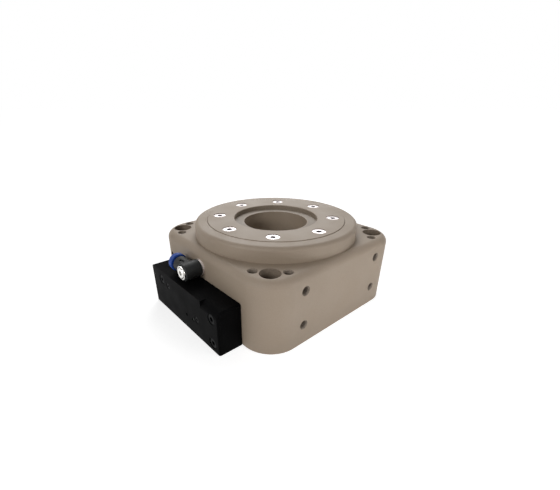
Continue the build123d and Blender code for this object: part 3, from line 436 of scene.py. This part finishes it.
def insert_steel():
    """Bright faced steel of the inserts, with painted shade down in the bore."""
    finish = Finish("bright_steel", (0.66, 0.61, 0.61), 0.3, metallic=1.0)
    finish.drift(120, (0.57, 0.52, 0.52), 0.6, detail=4.0)
    # Painted shade down in each insert's threaded bore
    finish.shade_between(from_nearest_insert(finish), INSERT_BORE + 0.1, INSERT_BORE - 0.1, (0.03, 0.03, 0.035))
    finish.rough_drift(300, 0.08)
    finish.grain(2500, 0.000004)
    return finish.done()


def bolt_nickel():
    """Nickel plate of the hollow bolt, with painted shade in the ring groove round its crown and in the hex
    socket.
    """
    centre = (BOLT_X, 0, BOLT_Z)
    finish = Finish("bolt_nickel", (0.84, 0.83, 0.80), 0.22, metallic=1.0)
    finish.drift(120, (0.70, 0.69, 0.66), 0.6, detail=4.0)
    from_axis = finish.radius(centre, "Y")
    # Painted shade in the ring groove round the crown
    off_groove = finish.math("ABSOLUTE", finish.off(from_axis, CROWN_RADIUS + 0.5 * GROOVE_WIDTH))
    finish.shade_between(off_groove, 0.5 * GROOVE_WIDTH, 0.3 * GROOVE_WIDTH, (0.04, 0.04, 0.04))
    # Painted shade down in the hex socket
    sunk = finish.above(finish.coordinate("Y"), BOLT_FACE + SOCKET_STEP)
    finish.mix_colour(finish.both(finish.below(from_axis, BOLT_SOCKET), sunk), (0.60, 0.59, 0.57))
    finish.rough_drift(300, 0.06)
    finish.grain(2500, 0.000004)
    finish.tool_rings(0.0002, 0.000006, centre, "Y")
    return finish.done()


def washer_satin():
    """Satin zinc plate of the washer under the elbow, tumbled and pale."""
    finish = Finish("washer_satin", (0.72, 0.67, 0.65), 0.45, metallic=0.6)
    finish.drift(400, (0.56, 0.51, 0.49), 0.7)
    finish.rough_drift(300, 0.08)
    finish.grain(1800, 0.000008)
    return finish.done()


def matt_skin(name, colour, roughness, grain=0.000006, specular=0.45):
    """Moulded plastic, rubber, board or the oxide skin of a black screw: fine grain, slightly cloudy."""
    finish = Finish(name, colour, roughness, specular=specular)
    finish.drift(160, tuple(min(1, 1.35 * value + 0.002) for value in colour), 0.6)
    finish.rough_drift(220, 0.07)
    finish.grain(2800, grain)
    return finish.done()


# Finish of each material slot of the record
FINISHES = {
    "housing_anodised": hard_anodised("taupe_anodised", paint_shade_in_holes),
    "rotor_anodised": hard_anodised("taupe_turned", paint_shade_on_rotor, turned=True),
    "insert_steel": insert_steel(),
    "bearing_bronze": bare_metal("bearing_bronze", (0.62, 0.45, 0.24), 0.3, rings=0.0002),
    "jet_brass": bare_metal("jet_brass", (0.78, 0.60, 0.30), 0.3),
    "seal_rubber": matt_skin("seal_rubber", (0.02, 0.02, 0.02), 0.7),
    "gasket_rubber": matt_skin("gasket_rubber", (0.03, 0.03, 0.03), 0.8),
    "screw_black": matt_skin("black_oxide_steel", (0.004, 0.004, 0.0045), 0.4, grain=0.000004, specular=0.04),
    "screw_steel": bare_metal("zinc_screw_steel", (0.62, 0.62, 0.61), 0.34),
    "plate_steel": bare_metal("ground_steel", (0.52, 0.52, 0.52), 0.32, rings=0.0003),
    "magnet_nickel": bare_metal("magnet_nickel", (0.66, 0.64, 0.60), 0.25),
    "core_laminate": stacked_core(),
    "coil_copper": wound_copper(),
    "scale_steel": ruled_scale(),
    "head_plastic": matt_skin("read_head_plastic", (0.03, 0.03, 0.034), 0.45),
    "cover_anodised": hard_anodised("cover_anodised", turned=True),
    "box_anodised": black_anodised(),
    "window_plastic": matt_skin("window_plastic", (0.006, 0.009, 0.006), 0.2, specular=0.12),
    "board_laminate": matt_skin("board_laminate", (0.02, 0.14, 0.06), 0.35),
    "chip_plastic": matt_skin("chip_plastic", (0.02, 0.02, 0.02), 0.5),
    "connector_metal": connector_nickel("motor_connector_nickel", CONNECTOR_HIGH),
    "fitting_nickel": bolt_nickel(),
    "elbow_plastic": matt_skin("elbow_plastic", (0.019, 0.02, 0.02), 0.45, specular=0.15),
    "grip_steel": bare_metal("grip_steel", (0.56, 0.56, 0.56), 0.3),
    "collar_plastic": matt_skin("collar_plastic", (0.015, 0.062, 0.31), 0.4, specular=0.2),
}

# Nodes whose finish differs from the others of their slot
OWN_FINISHES = {
    "fitting_washer": washer_satin(),
    "encoder_connector": connector_nickel("encoder_connector_nickel", CONNECTOR_LOW),
}


def smooth_cad(node):
    """A CAD node as drawn: its loose triangles welded, shaded smooth and split again at real edges."""
    node.data.polygons.foreach_set("use_smooth", [True] * len(node.data.polygons))
    node.modifiers.new("weld", "WELD").merge_threshold = WELD_DISTANCE
    node.modifiers.new("split", "EDGE_SPLIT").split_angle = math.radians(SHARP_ANGLE)
    node.modifiers.new("even", "WEIGHTED_NORMAL").weight = EVEN_WEIGHT


def dress_nodes():
    """Every CAD node gets its own finish or that of its material slot."""
    for row in frame["record"]["subparts"]:
        node = frame["nodes"][row["node"]]
        node.data.materials.clear()
        node.data.materials.append(OWN_FINISHES.get(row["node"], FINISHES[row["material_slot"]]))
        smooth_cad(node)


def mesh_object(name, points, faces, slot, body):
    """A finished piece: its mesh in place, its finish from the record's slot, riding on its body."""
    data = bpy.data.meshes.new(name)
    data.from_pydata(points.reshape(-1, 3).tolist(), [], faces.tolist())
    data.polygons.foreach_set("use_smooth", [True] * len(data.polygons))
    data.materials.append(FINISHES[slot])
    data.update()
    piece = in_scene(name, data)
    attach(piece, body)


def thread_grid(start, axis, across, length, radius, pitch, depth):
    """Internal thread of one tapped hole, as a closed sleeve. Round the hole the angle runs once, along it
    the rows run from the mouth inwards; the radius is the hole's, less the thread's depth times a triangle
    wave of (distance along - pitch * angle / full turn) / pitch, cut off flat at crest and root and faded out
    over the first and last half pitch. Two last rows lead back to the mouth inside the wall."""
    angle = np.linspace(0, 2 * math.pi, THREAD_STEPS, endpoint=False)
    along = np.linspace(0, length, int(THREAD_ROWS * length / pitch) + 1)
    phase = (along[:, None] / pitch - angle[None, :] / (2 * math.pi)) % 1.0
    ridge = np.clip(1.6 * (1 - np.abs(2 * phase - 1)) - 0.3, 0, 1)
    fade = np.clip(np.minimum(along, length - along) / (0.5 * pitch), 0, 1)
    behind = np.full((2, THREAD_STEPS), radius + THREAD_WALL * MM)
    reach = np.concatenate([radius - depth * ridge * fade[:, None], behind])
    along = np.concatenate([along, [length, 0.0]])
    ring = np.cos(angle)[:, None] * across + np.sin(angle)[:, None] * np.cross(axis, across)
    return start + along[:, None, None] * axis + reach[:, :, None] * ring[None, :, :]


def ring_faces(rows, steps, first):
    """Quads of a grid that closes on itself in both directions, facing the hole's axis on the thread side."""
    row, step = np.meshgrid(np.arange(rows), np.arange(steps), indexing="ij")
    below, after = (row + 1) % rows, (step + 1) % steps
    corners = [row * steps + step, below * steps + step, below * steps + after, row * steps + after]
    return np.stack(corners, -1).reshape(-1, 4) + first


def threads(name, starts, axis, across, length, radius, pitch, depth, slot, body):
    """The threads of a pattern of equal holes, as one piece."""
    axis, across = np.array(axis, float), np.array(across, float)
    grids = [thread_grid(np.array(start) * MM, axis, across, length * MM, radius * MM, pitch * MM, depth * MM)
             for start in starts]
    rows, steps = grids[0].shape[:2]
    faces = np.concatenate([ring_faces(rows, steps, k * rows * steps) for k in range(len(grids))])
    mesh_object(name, np.stack(grids), faces, slot, body)


def cut_threads():
    """Threads in every tapped hole that can be looked into."""
    down, inwards, to_right, to_back = (0, 0, -1), (-1, 0, 0), (1, 0, 0), (0, 1, 0)
    tapped = TAPPED_RADIUS, TAPPED_PITCH, TAPPED_DEPTH, "housing_anodised", "base"
    signs = (-1, 1)
    jigs = [(sx * x, sy * y, BASE_TOP - TAPPED_MOUTH)
            for x, y in ((JIG_NEAR, JIG_FAR), (JIG_FAR, JIG_NEAR)) for sx in signs for sy in signs]
    threads("jig_hole_threads", jigs, down, to_right, JIG_THREAD, *tapped)
    sides = [(SIDE_FACE - TAPPED_MOUTH, SIDE_CENTRE + sy * SIDE_HALF, z)
             for sy in signs for z in (SIDE_LOW, SIDE_HIGH)]
    threads("side_hole_threads", sides, inwards, to_back, SIDE_THREAD, *tapped)
    turns = [2 * math.pi * k / INSERT_COUNT for k in range(INSERT_COUNT)]
    inserts = [(INSERT_RING * math.cos(turn), INSERT_RING * math.sin(turn), INSERT_TOP - INSERT_MOUTH)
               for turn in turns]
    threads("insert_threads", inserts, down, to_right, INSERT_THREAD, INSERT_RADIUS, INSERT_PITCH, INSERT_DEPTH,
            "insert_steel", "rotor")


def make_floor():
    """Plain white floor. Light that bounces meets it as white paper. The camera and reflections see it paler
    than it is, with a glow that grows away from the stage, so that it runs into the white backdrop and keeps
    only the stage's soft shadow."""
    data = bpy.data.meshes.new("floor")
    corners = [(x * FLOOR_HALF, y * FLOOR_HALF, FLOOR_LOW) for x, y in ((-1, -1), (1, -1), (1, 1), (-1, 1))]
    data.from_pydata(corners, [], [(0, 1, 2, 3)])
    material = bpy.data.materials.new("pale_floor")
    material.use_nodes = True
    wiring = Wiring(material.node_tree)
    nodes, links = wiring.nodes, wiring.links
    paper = nodes["Principled BSDF"]
    paper.inputs["Base Color"].default_value = (PAPER, PAPER, PAPER, 1)
    paper.inputs["Roughness"].default_value = 0.9
    paper.inputs["Specular IOR Level"].default_value = 0.0
    shade = nodes.new("ShaderNodeBsdfDiffuse")
    shade.inputs["Color"].default_value = (SEEN_PAPER, SEEN_PAPER, SEEN_PAPER, 1)
    place = nodes.new("ShaderNodeTexCoord")
    reach = nodes.new("ShaderNodeVectorMath")
    reach.operation = "LENGTH"
    links.new(place.outputs["Object"], reach.inputs[0])
    fade = wiring.ramp(reach.outputs["Value"], GLOW_START, GLOW_END, GLOW_NEAR, GLOW_FAR)
    glow = nodes.new("ShaderNodeEmission")
    links.new(fade, glow.inputs["Strength"])
    seen = nodes.new("ShaderNodeAddShader")
    mix = nodes.new("ShaderNodeMixShader")
    for source, socket in ((shade.outputs[0], seen.inputs[0]), (glow.outputs[0], seen.inputs[1]),
                           (wiring.seen_directly(), mix.inputs[0]), (paper.outputs[0], mix.inputs[1]),
                           (seen.outputs[0], mix.inputs[2]),
                           (mix.outputs[0], nodes["Material Output"].inputs["Surface"])):
        links.new(source, socket)
    data.materials.append(material)
    in_scene("floor", data)


def make_light():
    """Soft studio light: a white backdrop, big square lamps behind and at the front left, and two small ones
    over the floor, in front and at the right, whose light comes up from the floor."""
    world = bpy.data.worlds.new("studio")
    bpy.context.scene.world = world
    world.use_nodes = True
    wiring = Wiring(world.node_tree)
    background = wiring.nodes["Background"]
    background.inputs["Color"].default_value = (1, 1, 1, 1)
    strength = wiring.ramp(wiring.seen_directly(), 0, 1, AMBIENT, BACKDROP)
    wiring.links.new(strength, background.inputs["Strength"])
    for name, (place, side, watts, aim) in LAMPS.items():
        data = bpy.data.lights.new(name, "AREA")
        data.shape = "SQUARE"
        data.size = side
        data.energy = watts
        lamp = in_scene(name, data)
        lamp.location = place
        lamp.rotation_euler = (Vector(aim) - Vector(place)).to_track_quat("-Z", "Y").to_euler()
        lamp.visible_camera = False


make_camera()
dress_nodes()
cut_threads()
make_floor()
make_light()
